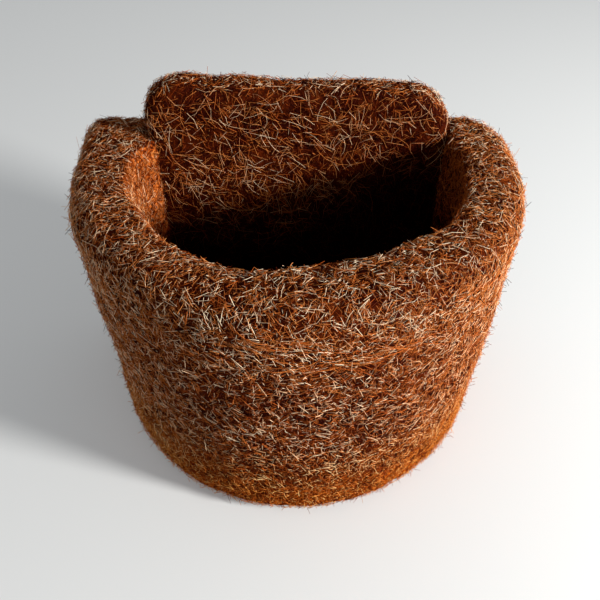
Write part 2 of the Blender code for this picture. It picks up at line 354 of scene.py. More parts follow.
# %% Material of the beds
BED_ROUGHNESS = 0.9
BED_GLOSS = 0.02
BED_PATCHES = 0.3
STRAND_SCALE, STRAND_DETAIL, STRAND_WARP = 420.0, 4.0, 1.5
STRAND_NOISE = (0.35, 0.70)            # this part of the noise
STRAND_TINTS = (0.0, 2.0)              # is spread to that, times the vertex's own tint
BUMP_STRENGTH = 0.8
BUMP_HEIGHT = 0.6 * MM


def bed_material():
    material, tree, shader = new_material("coir_bed")
    shader.inputs["Roughness"].default_value = BED_ROUGHNESS
    shader.inputs["Specular IOR Level"].default_value = BED_GLOSS
    strands = add_noise(tree, STRAND_SCALE, STRAND_DETAIL, STRAND_WARP)
    spread = add_range(tree, strands, STRAND_NOISE, STRAND_TINTS)
    tint = add_math(tree, 'MULTIPLY', spread, read_attribute(tree, "tint"))
    tones = add_tones(tree, shader, tint)
    tones.inputs["Patches"].default_value = BED_PATCHES
    bump = tree.nodes.new('ShaderNodeBump')
    bump.inputs["Strength"].default_value = BUMP_STRENGTH
    bump.inputs["Distance"].default_value = BUMP_HEIGHT
    tree.links.new(strands, bump.inputs["Height"])
    tree.links.new(bump.outputs["Normal"], shader.inputs["Normal"])
    return material


COIR_BED = bed_material()
print(COIR_BED.name, len(COIR_BED.node_tree.nodes), "nodes")

# %% [markdown]
# ## Shade in the mouth
#
# Deep in the mouth the real mat is nearly black, because light gets lost between its fibres. Lamps
# alone leave it too bright, as solid fibres on a solid bed lose less of it. So the beds and the
# fibres keep less of their colour the deeper they lie: painted shade. On the panel that painted
# shade climbs to the right, into the back corner that the light passes by, as a painted shadow of
# the band's right side.

# %% Shade in the mouth
MOUTH_MIDDLE = np.array([2 * MM, 20 * MM])
MOUTH_DARK = 0.08                      # what is left of the colour deep in the mouth
MOUTH_FROM, MOUTH_TO = 110 * MM, 66 * MM   # heights where it starts and is complete
# painted shadow on the panel, towards its right back corner:
CORNER_SHADOW_REACH = 45 * MM                 # the shade climbs up the panel over this width
CORNER_SHADOW_SLOPE = 0.8                     # towards the mouth's right back corner
# painted shade kept on the floor pad, milder than on the mouth's walls
PAD_SHADE = 0.7                        # the floor pad's colour, seen only from above
FACING = 0.5                           # a face looks one way if that part of its normal is more
SQUARELY = 0.7                         # and squarely so from here


def soft_step(low, high, values):
    """0 at the low value, 1 at the high one, and a smooth S between them."""
    share = np.clip((values - low) / (high - low), 0.0, 1.0)
    return share * share * (3 - 2 * share)


def in_mouth(places, normals):
    """True on the mouth's walls, which look towards its middle, and on its floor."""
    outward = ((places[:, :2] - MOUTH_MIDDLE) * normals[:, :2]).sum(-1)
    wall = (outward < 0) & (abs(normals[:, 2]) < SQUARELY)
    bottom = (normals[:, 2] > SQUARELY) & (places[:, 2] < MOUTH_TO)
    return wall | bottom


def mouth_shade(places, normals):
    """1 in the open, and less the deeper a place lies in the mouth: painted shade, with a painted
    shadow in the panel's right corner.
    """
    # painted shadow: on the panel the shade climbs towards the right back corner
    corner = places[:, 0].clip(0, CORNER_SHADOW_REACH) * (normals[:, 1] < -FACING)
    level = places[:, 2] - CORNER_SHADOW_SLOPE * corner
    depth = soft_step(MOUTH_FROM, MOUTH_TO, level) * in_mouth(places, normals)
    return 1 - (1 - MOUTH_DARK) * depth


# %% [markdown]
# ## The beds
#
# A pressed mat is never flat: it swells and sinks by a millimetre or two where the fibre was
# thicker or thinner. A copy of the CAD solid has the true outline. It is merged, remeshed into an
# even net of small faces, and pushed in and out by two cloud textures, a slow one for the lumps and
# a fine one for the tufts. Sculpting would do as well, but not twice the same.
#
# The band's and the panel's beds sink a little into their solids, because the fibres lie on top.
# The floor pad's bed swells instead, and so do the panel's edges below the rim, so that no slit
# shows where the real mats are pressed together.

# %% Lumps and tufts
BED_VOXEL = 1.8 * MM
MERGE_DISTANCE = 0.01 * MM
BED_SINKS = {"front_wall": 0.9 * MM, "back_panel": 0.9 * MM, "base_pad": -1.8 * MM}
LUMP_SIZE, LUMP_HEIGHT = 16 * MM, 1.5 * MM
TUFT_SIZE, TUFT_HEIGHT = 5 * MM, 1.2 * MM
CLOUD_DEPTH = 2
CLOUD_MIDDLE = 0.5                     # a paler cloud pushes out, a darker one pulls in


def cloud_texture(name, size):
    texture = bpy.data.textures.new(name, 'CLOUDS')
    texture.noise_scale = size
    texture.noise_depth = CLOUD_DEPTH
    return texture


LUMPS = cloud_texture("lumps", LUMP_SIZE)
TUFTS = cloud_texture("tufts", TUFT_SIZE)


def push(item, texture, height, sink=0.0):
    """Lumps of a height in all, on a surface that sinks as a whole."""
    displace = item.modifiers.new(texture.name, 'DISPLACE')
    displace.texture = texture
    displace.texture_coords = 'GLOBAL'
    displace.strength = height
    displace.mid_level = CLOUD_MIDDLE + sink / height


# %% [markdown]
# Between the fibres the bed is nearly black, a painted shade for the gaps that the fibres above
# shade. It is browner where few fibres cover it or light gets deeper into the mat: at the back, at
# the foot and on the floor pad, and on the mouth's left wall, which faces the light, where it is
# painted light. The foot's border wanders up and down, as the ochre part of the real mat has no
# ruled line.

# %% Tints of the beds
# painted shade: the bed's near-black tint stands for the shade in the gaps between the fibres
BED_SHADE_TINT, BRIGHT_BED_TINT = 0.03, 0.42
BACK_BRIGHT = 0.30                     # how far each part goes from the first to the second
FOOT_BRIGHT = 0.55
# painted light on the bed of the mouth's left wall, which faces the light
LIT_WALL_BRIGHT = 0.85
PAD_BRIGHT = 0.50
BACK_FACING = 0.6
LIT_BED_FACING = 0.3
FOOT_TOP, FOOT_FULL = 56 * MM, 4 * MM  # from here down the fibre turns shorter and more ochre
FOOT_WAVER = 12 * MM                   # how far that border wanders up and down
FOOT_PATCH = 22 * MM


def cloudiness(places, size):
    """A noise around 0 that changes slowly from place to place, over a given size."""
    return np.array([noise.noise(Vector(place) / size) for place in places])


def foot_share(places):
    """0 above the foot and 1 at its lowest part, with a border that wanders."""
    waver = cloudiness(places, FOOT_PATCH)
    return soft_step(FOOT_TOP, FOOT_FULL, places[:, 2] + FOOT_WAVER * waver)


def bed_tint(places, normals, node):
    bright = np.where(normals[:, 1] > BACK_FACING, BACK_BRIGHT, 0.0)
    if node == "front_wall":
        bright = np.maximum(bright, FOOT_BRIGHT * foot_share(places))
        # painted light: the bed on the mouth's left wall, which faces the light, is made bright
        bright[in_mouth(places, normals) & (normals[:, 0] > LIT_BED_FACING)] = LIT_WALL_BRIGHT
    if node == "base_pad":
        bright[:] = PAD_BRIGHT
    return BED_SHADE_TINT + (BRIGHT_BED_TINT - BED_SHADE_TINT) * bright


# %% Helpers for the beds
RIM_LEVEL = boxes["front_wall"][1][2]
HELD_BELOW = RIM_LEVEL - 5 * MM        # the band holds the panel up to this height


def make_active(item):
    deselect()
    item.select_set(True)
    bpy.context.view_layer.objects.active = item


def apply_modifiers(item):
    make_active(item)
    for name in [modifier.name for modifier in item.modifiers]:
        bpy.ops.object.modifier_apply(modifier=name)


def coordinates(mesh):
    places = np.empty(3 * len(mesh.vertices), dtype=np.float32)
    mesh.vertices.foreach_get("co", places)
    return places.reshape(-1, 3)


def write_attributes(mesh, tint, shade):
    """Give each vertex the two numbers that the materials read."""
    for name, values in (("tint", tint), ("shade", shade)):
        attribute = mesh.attributes.new(name, 'FLOAT', 'POINT')
        attribute.data.foreach_set("value", values.astype(np.float32))


def held_edges(places, normals):
    """True on the panel's two edges, where the band is bonded to them."""
    return (abs(normals[:, 0]) > SQUARELY) & (places[:, 2] < HELD_BELOW)


# %% Beds of the three mats
SEAM_SWELL = 2.6 * MM                  # the panel's edges are pressed into the band's ends
FLOOR_CLEARANCE = 0.2 * MM


def remeshed_copy(node, name):
    """A copy of a CAD node's solid, as an even net with lumps and tufts."""
    make_active(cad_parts[node])
    bpy.ops.object.duplicate()
    bed = bpy.context.object
    bed.name = name
    bpy.ops.object.mode_set(mode='EDIT')
    bpy.ops.mesh.select_all(action='SELECT')
    bpy.ops.mesh.remove_doubles(threshold=MERGE_DISTANCE)
    bpy.ops.object.mode_set(mode='OBJECT')
    remesh = bed.modifiers.new("even_net", 'REMESH')
    remesh.mode = 'VOXEL'
    remesh.voxel_size = BED_VOXEL
    remesh.use_smooth_shade = True
    push(bed, LUMPS, LUMP_HEIGHT)
    push(bed, TUFTS, TUFT_HEIGHT, BED_SINKS[node])
    apply_modifiers(bed)
    return bed


def make_bed(node, name):
    """The lumpy surface of one mat, in the place of its CAD solid."""
    bed = remeshed_copy(node, name)
    places = coordinates(bed.data)
    normals = np.empty_like(places)
    bed.data.vertex_normals.foreach_get("vector", normals.ravel())
    if node == "back_panel":
        held = held_edges(places, normals)
        places[held, 0] += np.sign(normals[held, 0]) * SEAM_SWELL
    places[:, 2] = np.maximum(places[:, 2], FLOOR_CLEARANCE)
    bed.data.vertices.foreach_set("co", places.ravel())
    bed.data.update()
    shade = mouth_shade(places, normals)
    if node == "base_pad":
        shade[:] = PAD_SHADE
    write_attributes(bed.data, bed_tint(places, normals, node), shade)
    bed.data.materials.clear()
    bed.data.materials.append(COIR_BED)
    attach(bed, "root")
    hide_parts(node)
    print(name, len(bed.data.polygons), "faces")
    return bed


wall_bed = make_bed("front_wall", "wall_bed")
panel_bed = make_bed("back_panel", "panel_bed")
base_bed = make_bed("base_pad", "base_bed")

# %% [markdown]
# ## Laying the fibres
#
# Coconut fibre is 0.1 to 0.5 mm thick, and what shows of one in the mat is 2 to 12 mm long. A
# particle system could place them, but its hairs stand up from the surface like grass, and these
# lie down and cross each other. No operator lays them either, so they are laid in mesh code: each
# starts at a random point of the bed, takes a direction, and walks over the surface in one step if
# it is short and in several if it is long. A nearest-point search keeps it on the bed. Each end is
# then lifted by a small height of its own, so that fibres dive under and over one another.

# %% Faces of a bed
def bed_faces(bed):
    """Centres, normals and areas of a bed's faces, and a tree to find the nearest point."""
    mesh = bed.data
    count = len(mesh.polygons)
    centres = np.empty(3 * count, dtype=np.float32)
    normals = np.empty(3 * count, dtype=np.float32)
    areas = np.empty(count, dtype=np.float32)
    mesh.polygons.foreach_get("center", centres)
    mesh.polygons.foreach_get("normal", normals)
    mesh.polygons.foreach_get("area", areas)
    tree = BVHTree.FromPolygons([vertex.co for vertex in mesh.vertices],
                                [tuple(face.vertices) for face in mesh.polygons])
    return centres.reshape(-1, 3), normals.reshape(-1, 3), areas, tree


# %% Walking over the bed
NEARLY_NOTHING = 1e-9                  # keeps a division from failing


def unit(vectors):
    """Each vector at a length of 1."""
    lengths = np.linalg.norm(vectors, axis=-1, keepdims=True)
    return vectors / np.maximum(lengths, NEARLY_NOTHING)


def across(vectors, normals):
    """The part of each vector that lies in the surface, at unit length."""
    return unit(vectors - normals * (vectors * normals).sum(-1, keepdims=True))


def turned(vectors, normals, angles):
    """Vectors in the surface, turned about its normals."""
    side = np.cross(normals, vectors)
    return vectors * np.cos(angles)[:, None] + side * np.sin(angles)[:, None]


def walk(tree, starts, normals, headings, lengths, curls, steps):
    """Points and normals along each fibre, at the ends of a number of equal steps."""
    points = np.empty((len(starts), steps + 1, 3))
    lifts = np.empty_like(points)
    here, up, heading = starts.copy(), normals.copy(), headings.copy()
    points[:, 0] = here
    lifts[:, 0] = up
    for place in range(1, steps + 1):
        ahead = here + heading * (lengths / steps)[:, None]
        for fibre, guess in enumerate(ahead):
            found, normal, _, _ = tree.find_nearest(guess)
            here[fibre] = found
            up[fibre] = normal
        points[:, place] = here
        lifts[:, place] = up
        heading = turned(across(heading, up), up, curls / steps)
    return points, lifts


# %% [markdown]
# A fibre is a three-sided tube with closed, pointed tips, because more than two hundred thousand of
# them have to stay light. Three sides are enough: smooth shading rounds them, and each is barely a
# pixel wide. The shortest, darkest and deepest ones, of which only glimpses show, are plain needles
# with six faces. A tube's two lower edges are darker than its ridge, as on a real fibre, whose
# sides stand in its neighbours' shade. All fibres of a piece go into one mesh, built from arrays,
# and each gets its own cell in a UV map, where its colour can be baked.

# %% Faces and vertices of a fibre
SIDES = 3
TIP_SHARE = 0.06                       # of a fibre's length, at either end
CELL_EDGE = 0.1                        # free border of a fibre's cell in the map


def with_tips(values, needle):
    """Values at the steps' ends become values at the tube's rings and two tips."""
    first, last = values[:, :1], values[:, -1:]
    if needle:
        return np.concatenate([first, (first + last) / 2, last], axis=1)
    near_first = first + (values[:, 1:2] - first) * TIP_SHARE
    near_last = last + (values[:, -2:-1] - last) * TIP_SHARE
    return np.concatenate([first, near_first, values[:, 1:-1], near_last, last], axis=1)


def fibre_faces(places):
    """Corner numbers, face sizes and map cells of one fibre with a number of places."""
    corners, sizes, cells = [], [], []
    share = np.linspace(CELL_EDGE, 1 - CELL_EDGE, places)
    width = 1 - 2 * CELL_EDGE
    tip = 1 + (places - 2) * SIDES
    for side in range(SIDES):
        other = (side + 1) % SIDES
        low = CELL_EDGE + width * side / SIDES
        high = low + width / SIDES
        corners += [0, 1 + other, 1 + side]
        cells += [(share[0], low), (share[1], high), (share[1], low)]
        sizes.append(3)
        for ring in range(places - 3):
            first = 1 + ring * SIDES
            second = first + SIDES
            corners += [first + side, first + other, second + other, second + side]
            cells += [(share[ring + 1], low), (share[ring + 1], high),
                      (share[ring + 2], high), (share[ring + 2], low)]
            sizes.append(4)
        last = tip - SIDES
        corners += [last + side, last + other, tip]
        cells += [(share[-2], low), (share[-2], high), (share[-1], low)]
        sizes.append(3)
    return np.array(corners), np.array(sizes), np.array(cells)


def fibre_vertices(points, lifts, radii):
    """Tips and three-cornered rings along each centre line (fibre, place, xyz)."""
    count = len(points)
    along = unit(np.gradient(points, axis=1))
    side = unit(np.cross(lifts, along))
    over = np.cross(along, side)
    angles = np.arange(SIDES) * 2 * math.pi / SIDES + math.pi / 2
    spokes = (side[:, 1:-1, None] * np.cos(angles)[:, None]
              + over[:, 1:-1, None] * np.sin(angles)[:, None])
    rings = points[:, 1:-1, None] + spokes * radii[:, None, None, None]
    rings = rings.reshape(count, -1, 3)
    vertices = np.concatenate([points[:, :1], rings, points[:, -1:]], axis=1)
    vertices[..., 2] = np.maximum(vertices[..., 2], FLOOR_CLEARANCE)
    return vertices


# %% One mesh of many fibres
PALE_TINTS = (0.60, 0.95)              # from here to there a fibre turns from dark to pale
EDGE_SHADE = (0.40, 0.80)              # what a dark and a pale fibre keep at their lower edges


def gather(batches):
    """Long arrays of all fibres. A batch holds points, lifts, radii, tints and shades."""
    total = sum(len(batch[0]) for batch in batches)
    grid = math.ceil(math.sqrt(total))
    parts = {"co": [], "corner": [], "size": [], "uv": [], "tint": [], "shade": []}
    made, used = 0, 0
    for points, lifts, radii, tints, shades in batches:
        vertices = fibre_vertices(points, lifts, radii)
        corners, sizes, cells = fibre_faces(points.shape[1])
        count, per_fibre, _ = vertices.shape
        first = used + per_fibre * np.arange(count)
        number = made + np.arange(count)
        corner_cell = np.stack([number % grid, number // grid], axis=-1)[:, None]
        parts["co"].append(vertices.ravel())
        parts["corner"].append((corners[None] + first[:, None]).ravel())
        parts["size"].append(np.tile(sizes, count))
        parts["uv"].append(((cells[None] + corner_cell) / grid).ravel())
        parts["tint"].append(np.repeat(tints, per_fibre))
        edge = np.interp(soft_step(*PALE_TINTS, tints), (0, 1), EDGE_SHADE)
        lower = np.zeros(per_fibre, dtype=bool)
        lower[1:-1] = np.arange(per_fibre - 2) % SIDES > 0
        parts["shade"].append((shades[:, None] * np.where(lower, edge[:, None], 1.0)).ravel())
        used += count * per_fibre
        made += count
    return {name: np.concatenate(values) for name, values in parts.items()}


def fibre_mesh(name, batches):
    """The mesh of a piece, and how many triangles it has."""
    parts = gather(batches)
    mesh = bpy.data.meshes.new(name)
    mesh.vertices.add(len(parts["tint"]))
    mesh.vertices.foreach_set("co", parts["co"].astype(np.float32))
    mesh.loops.add(len(parts["corner"]))
    mesh.loops.foreach_set("vertex_index", parts["corner"].astype(np.int32))
    mesh.polygons.add(len(parts["size"]))
    starts = np.concatenate([[0], np.cumsum(parts["size"])[:-1]])
    mesh.polygons.foreach_set("loop_start", starts.astype(np.int32))
    mesh.update(calc_edges=True)
    mesh.validate()
    mesh.shade_smooth()
    bake_map = mesh.uv_layers.new(name="OFBake")
    bake_map.data.foreach_set("uv", parts["uv"].astype(np.float32))
    write_attributes(mesh, parts["tint"], parts["shade"])
    return mesh, int(parts["size"].sum() - 2 * len(parts["size"]))


# %% [markdown]
# ## Traits
#
# Each fibre draws its own length, thickness, height in the mat, direction and colour. The colours
# come in three groups, as real coir is a blend: a third of the fibres are dark, two fifths are rust
# and a fifth are pale. The pale ones also stand in for glints, so their colour is partly real and
# partly a painted highlight. They are a little shorter, thicker and more bent, and they lie nearer
# to the top. Neighbours tend to lie the same way, because the mat was combed and pressed, so part
# of the direction comes from a slow noise that swirls over the surface.

# %% What a fibre may be
FIBRE_RNG = np.random.default_rng(8)
# the pale fifth is partly real pale fibre and partly a painted highlight for glints
TINT_SHARES = (0.0, 0.34, 0.39, 0.79, 0.81, 1.0)   # up to this share of the fibres
TINTS = (0.0, 0.30, 0.40, 0.66, 0.86, 1.0)         # the tints go up to this
LENGTH_SHAPE, LENGTH_SCALE = 4.5, 0.80 * MM    # of the gamma curve that the lengths follow
LENGTH_LIMITS = (2 * MM, 20 * MM)
RADII = (0.06 * MM, 0.12 * MM)
PALE_CHANGE = 0.12                     # pale fibres are this much shorter and thicker
PALE_RISE = 0.35                       # and nearer to the top
DEEP, TOP = -0.7 * MM, 1.0 * MM        # lowest and highest lay above the bed
TILT = 0.22 * MM                       # typical height of one end over the middle
CURL = 0.75                            # typical turn from end to end, in radians
FREE_SHARE = 0.06                      # fibres with one end that stands off the mat
FREE_LIFTS = (0.4 * MM, 1.8 * MM)
STRAY_SHARE = 0.006                    # and those with an end that stands far off
STRAY_LIFTS = (2.0 * MM, 4.5 * MM)
DEEP_SHADE = 0.02                      # of its colour, what the deepest fibre keeps
DARK_LAYERS = (0.42, 0.75)             # between these parts of the mat's height it gets light


def draws(count, low, high):
    return FIBRE_RNG.uniform(low, high, count)


def redraw(traits, name, chosen, span):
    """Other values of one trait for the chosen fibres."""
    traits[name][chosen] = draws(len(chosen), *span)[chosen]


def lay_shade(layer):
    """Colour that a fibre keeps, a painted shade: the lower half of the mat is nearly dark."""
    share = (layer - DEEP) / (TOP - DEEP)
    return DEEP_SHADE + (1 - DEEP_SHADE) * soft_step(*DARK_LAYERS, share)


def common_traits(starts, up):
    """Traits of fibres anywhere on the pot. An order of 1 lays them all along the grain."""
    count = len(starts)
    tint = np.interp(draws(count, 0, 1), TINT_SHARES, TINTS)
    pale = soft_step(*PALE_TINTS, tint)
    layer = DEEP + (TOP - DEEP) * draws(count, 0, 1) ** (1 - PALE_RISE * pale)
    free = draws(count, *FREE_LIFTS)
    free[draws(count, 0, 1) > FREE_SHARE] = 0.0
    stray = draws(count, 0, 1) < STRAY_SHARE
    free[stray] = draws(count, *STRAY_LIFTS)[stray]
    length = FIBRE_RNG.gamma(LENGTH_SHAPE, LENGTH_SCALE, count) * (1 - PALE_CHANGE * pale)
    return {
        "length": length.clip(*LENGTH_LIMITS),
        "radius": draws(count, *RADII) * (1 + PALE_CHANGE * pale),
        "curl": FIBRE_RNG.normal(scale=CURL, size=count) * (1 + pale),
        "layer": layer,
        "tilt": FIBRE_RNG.normal(scale=TILT, size=count),
        "free": free,
        "tint": tint,
        "shade": lay_shade(layer) * mouth_shade(starts, up),
        "order": np.zeros(count),
        "grain": np.tile([1.0, 0.0, 0.0], (count, 1)),
    }


# %% Sowing fibres on a bed
QUICK_SHARE = 1.0
START_SPREAD = BED_VOXEL / 3           # fibres don't all start at the middle of a face
SWIRL_SIZE = 14 * MM
SWIRL_WEIGHT = 0.38
SWIRL_SEED = 8
noise.seed_set(SWIRL_SEED)             # noise vectors would start from the clock otherwise


def swirl(starts):
    return np.array([noise.noise_vector(Vector(start) / SWIRL_SIZE) for start in starts])


def lay(bed, density, describe):
    """Fibres over a bed. density(centres, normals) gives fibres per square millimetre."""
    centres, normals, areas, tree = bed_faces(bed)
    weights = areas / MM ** 2 * density(centres, normals)
    count = int(weights.sum() * QUICK_SHARE)
    chosen = FIBRE_RNG.choice(len(areas), size=count, p=weights / weights.sum())
    starts = centres[chosen].astype(float)
    starts += FIBRE_RNG.normal(scale=START_SPREAD, size=starts.shape)
    up = normals[chosen].astype(float)
    traits = describe(starts, up)
    order = traits["order"][:, None]
    anywhere = unit(FIBRE_RNG.normal(size=starts.shape))
    either_way = FIBRE_RNG.choice([-1, 1], size=(count, 1))
    heading = across(anywhere * (1 - order) + swirl(starts) * SWIRL_WEIGHT
                     + traits["grain"] * order * either_way, up)
    traits.update(start=starts, up=up, heading=heading)
    return tree, traits


# %% Building one piece of fibres
NEEDLE_LENGTH = 3.5 * MM               # shorter ones are plain needles,
NEEDLE_TINT = 0.42                     # and darker ones,
NEEDLE_LAYER = DEEP + 0.35 * (TOP - DEEP)   # and deeper ones
MEDIUM_LENGTH, MEDIUM_STEPS = 6.5 * MM, 2   # from this length a fibre walks in two steps
LONG_LENGTH, LONG_STEPS = 10.5 * MM, 4      # and from this one in four


def lay_batch(tree, traits, pick, steps, needle):
    """Centre lines, lifts, radii, tints and shades of the picked fibres."""
    own = {name: values[pick] for name, values in traits.items()}
    points, lifts = walk(tree, own["start"], own["up"], own["heading"], own["length"],
                         own["curl"], steps)
    share = np.linspace(0.0, 1.0, steps + 1)
    height = (own["layer"][:, None]
              + own["tilt"][:, None] * (2 * share - 1)
              + own["free"][:, None] * share ** 2)
    points = with_tips(points + lifts * height[..., None], needle)
    return points, with_tips(lifts, needle), own["radius"], own["tint"], own["shade"]


def finish_fibres(name, tree, traits, keep):
    """Walk, lift and build the kept fibres as one piece."""
    length, layer = traits["length"], traits["layer"]
    hidden = (length < NEEDLE_LENGTH) | (layer < NEEDLE_LAYER) | (traits["tint"] < NEEDLE_TINT)
    needles = hidden & (length < MEDIUM_LENGTH) & (traits["free"] == 0)
    medium = (length >= MEDIUM_LENGTH) & (length < LONG_LENGTH)
    long = length >= LONG_LENGTH
    short = ~needles & ~medium & ~long
    kinds = ((needles, 1, True), (short, 1, False),
             (medium, MEDIUM_STEPS, False), (long, LONG_STEPS, False))
    batches = [lay_batch(tree, traits, keep & kind, steps, needle)
               for kind, steps, needle in kinds if (keep & kind).any()]
    mesh, triangles = fibre_mesh(name, batches)
    fibres = bpy.data.objects.new(name, mesh)
    bpy.context.scene.collection.objects.link(fibres)
    mesh.materials.append(COIR_FIBRE)
    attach(fibres, "root")
    print(name, int(keep.sum()), "fibres,", triangles, "triangles")
    return triangles


# %% [markdown]
# ## The band
#
# The band's outside and rim carry the densest fibre. Pits in it, a few millimetres wide, let the
# dark bed show. Deep in the mouth and on the underside, where little shows, fibres are sparse.

# %% Where the band's fibres are
WALL_DENSITY = 2.60                    # fibres per square millimetre
DEEP_DENSITY = 0.12                    # these are shares of it: deep in the mouth,
BAND_UNDER_DENSITY = 0.08              # on the underside,
BAND_BACK_DENSITY = 0.30               # on the shoulders' cut ends at the back
PIT_DENSITY = 0.15                     # and in a pit
PIT_SIZE = 3 * MM
PIT_LEVEL = 0.40                       # where the pit noise is above this, the mat has a pit
PITS_FROM = 0.9 * FOOT_TOP             # lower down it has none
BAND_FADE = (75 * MM, 35 * MM)         # below the rim, where they are sparsest and densest


def pitted(places):
    return cloudiness(places, PIT_SIZE) > PIT_LEVEL


def mouth_density(full, fade, heights):
    """A density that falls to a small share of it deep in the mouth."""
    lowest, highest = fade
    depth = soft_step(RIM_LEVEL - lowest, RIM_LEVEL - highest, heights)
    return full * (DEEP_DENSITY + (1 - DEEP_DENSITY) * depth)


def band_density(centres, normals):
    density = np.full(len(centres), WALL_DENSITY)
    inner = in_mouth(centres, normals)
    density[inner] = mouth_density(WALL_DENSITY, BAND_FADE, centres[:, 2])[inner]
    density[normals[:, 2] < -FACING] *= BAND_UNDER_DENSITY
    density[normals[:, 1] > BACK_FACING] *= BAND_BACK_DENSITY
    density[pitted(centres) & ~inner & (centres[:, 2] > PITS_FROM)] *= PIT_DENSITY
    return density


# %% [markdown]
# Its fibres change from part to part. Near the foot they are shorter and evenly ochre. The upper
# part and the rim get paler tints, a painted highlight where the low light glints on them, and the
# flanks are evened towards orange and lightened, the shaded left one most, which is painted light.
# On the rim they tend to point outwards. On the mouth's walls they run up and down, brushed that
# way when the mould was drawn out, and they are darker there, a painted shade. The left wall, which
# faces the light, gets bright tints instead, painted light that makes it the brightest part of the
# pot. Under the front of the rim a few clumps of long fibres sweep round level. Each part is chosen
# by its place and by the way its surface looks, and the traits drawn before are changed there.

# %% Foot, rim and flanks
FOOT_SHORTER, FOOT_THICKER = 0.35, 0.1
FOOT_TINT, FOOT_SHADE = (0.45, 0.28), (0.2, 0.2)   # (evened out by, then raised by)
# painted highlight on the upper part and the rim, where the low light glints:
UPPER_FROM, UPPER_FULL = 92 * MM, 124 * MM
UPPER_HIGHLIGHT_TINT = (0.22, 0.27)
BACK_THICKER = 1.3
RIM_DEPTH = 15 * MM
RIM_LEFT = -45 * MM                    # the rim's left part is on the left of this
RIM_ORDERS = (0.35, 0.15)              # there, and on the rest of it
RIM_LEFT_SHADE = 0.86
FLANK_FACING = (0.2, 0.8)              # where a flank starts and is full
# painted light on the flanks, the shaded left one most:
FLANK_EVEN = 0.35
FLANK_LIGHT_LIFTS = (0.32, 0.25)             # on the left and on the right


def evened(values, share, even, lift):
    """Values brought closer together and raised, where the share is 1."""
    return values * (1 - even * share) + lift * share


def dress_outside(traits, starts, up):
    foot = foot_share(starts)
    traits["length"] *= 1 - FOOT_SHORTER * foot
    traits["radius"] *= 1 + FOOT_THICKER * foot
    traits["tint"] = evened(traits["tint"], foot, *FOOT_TINT)
    traits["shade"] = evened(traits["shade"], foot, *FOOT_SHADE)
    # painted highlight: the upper part and the rim get paler tints where the raking light glints on
    # them
    upper = soft_step(UPPER_FROM, UPPER_FULL, starts[:, 2])
    traits["tint"] = evened(traits["tint"], upper, *UPPER_HIGHLIGHT_TINT)
    traits["radius"][up[:, 1] > BACK_FACING] *= BACK_THICKER

    rim = (up[:, 2] > FACING) & (starts[:, 2] > RIM_LEVEL - RIM_DEPTH)
    away = starts - np.array([*MOUTH_MIDDLE, 0.0])
    traits["grain"][rim] = away[rim] / np.linalg.norm(away[rim], axis=1, keepdims=True)
    left = starts[:, 0] < RIM_LEFT
    traits["order"] = np.where(rim, np.where(left, *RIM_ORDERS), 0.0)
    traits["shade"][rim & left] *= RIM_LEFT_SHADE
    # painted light: the flanks' tints are evened towards orange and raised, the shaded left one
    # most
    flank = soft_step(*FLANK_FACING, abs(up[:, 0]))
    lift = np.where(up[:, 0] < 0, *FLANK_LIGHT_LIFTS)
    traits["tint"] = evened(traits["tint"], flank, FLANK_EVEN, lift)


# %% Mouth's walls and long sweeps
INNER_SHORTER = 0.8
# painted shade on the mouth's walls:
INNER_SHADE_TINT = 0.6
INNER_ORDER = 0.5
LIT_FACING = 0.2
# painted light on the mouth's left wall, which faces the light:
LIT_TINTS = (0.14, 0.93)
LIT_SHADE = 0.12                       # what the deepest fibre keeps on the lit wall
SWEEP_LEVEL = 113 * MM                 # long fibres lie level round the front at this height
SWEEP_HALF = 9 * MM                    # and this far above and below it
SWEEP_LEFT, SWEEP_RIGHT = -10 * MM, 75 * MM
SWEEP_FACING = 0.3
SWEEP_SHARE = 0.05
SWEEP_CLUMP = 13 * MM
SWEEP_CLOUDS = (0.05, 0.4)             # values of the clump noise with none and with all of them
SWEEP_ORDER = 0.9
SWEEP_LENGTHS = (10 * MM, 24 * MM)
SWEEP_TINTS = (0.42, 0.66)
SWEEP_LAYER = TOP + 0.2 * MM


def dress_mouth(traits, starts, up, inner):
    lit = inner & (up[:, 0] > LIT_FACING)
    traits["length"][inner] *= INNER_SHORTER
    # painted shade: fibres on the mouth's walls are darker
    traits["tint"][inner] *= INNER_SHADE_TINT
    # painted light: the lit left wall gets bright tints and keeps more of its colour
    redraw(traits, "tint", lit, LIT_TINTS)
    bright = LIT_SHADE + (1 - LIT_SHADE) * lay_shade(traits["layer"])
    traits["shade"][lit] = (bright * mouth_shade(starts, up))[lit]
    traits["order"][inner] = INNER_ORDER
    traits["grain"][inner] = [0.0, 0.0, 1.0]


def add_sweeps(traits, starts, up, inner):
    count = len(starts)
    sweep = (abs(starts[:, 2] - SWEEP_LEVEL) < SWEEP_HALF) & (up[:, 1] < -SWEEP_FACING) & ~inner
    sweep &= (starts[:, 0] > SWEEP_LEFT) & (starts[:, 0] < SWEEP_RIGHT)
    clumps = soft_step(*SWEEP_CLOUDS, cloudiness(starts, SWEEP_CLUMP))
    sweep &= draws(count, 0, 1) < SWEEP_SHARE * clumps
    level = np.stack([-up[:, 1], up[:, 0], np.zeros(count)], axis=1)
    traits["grain"][sweep] = level[sweep]
    traits["order"][sweep] = SWEEP_ORDER
    redraw(traits, "length", sweep, SWEEP_LENGTHS)
    redraw(traits, "tint", sweep, SWEEP_TINTS)
    traits["layer"][sweep] = SWEEP_LAYER
    traits["shade"][sweep] = 1.0


def band_traits(starts, up):
    traits = common_traits(starts, up)
    inner = in_mouth(starts, up)
    dress_outside(traits, starts, up)
    dress_mouth(traits, starts, up, inner)
    add_sweeps(traits, starts, up, inner)
    return traits


# %% [markdown]
# One mesh of all the band's fibres would be too heavy. So they are parted into ten pieces, side by
# side round the D, with as many fibres in each.

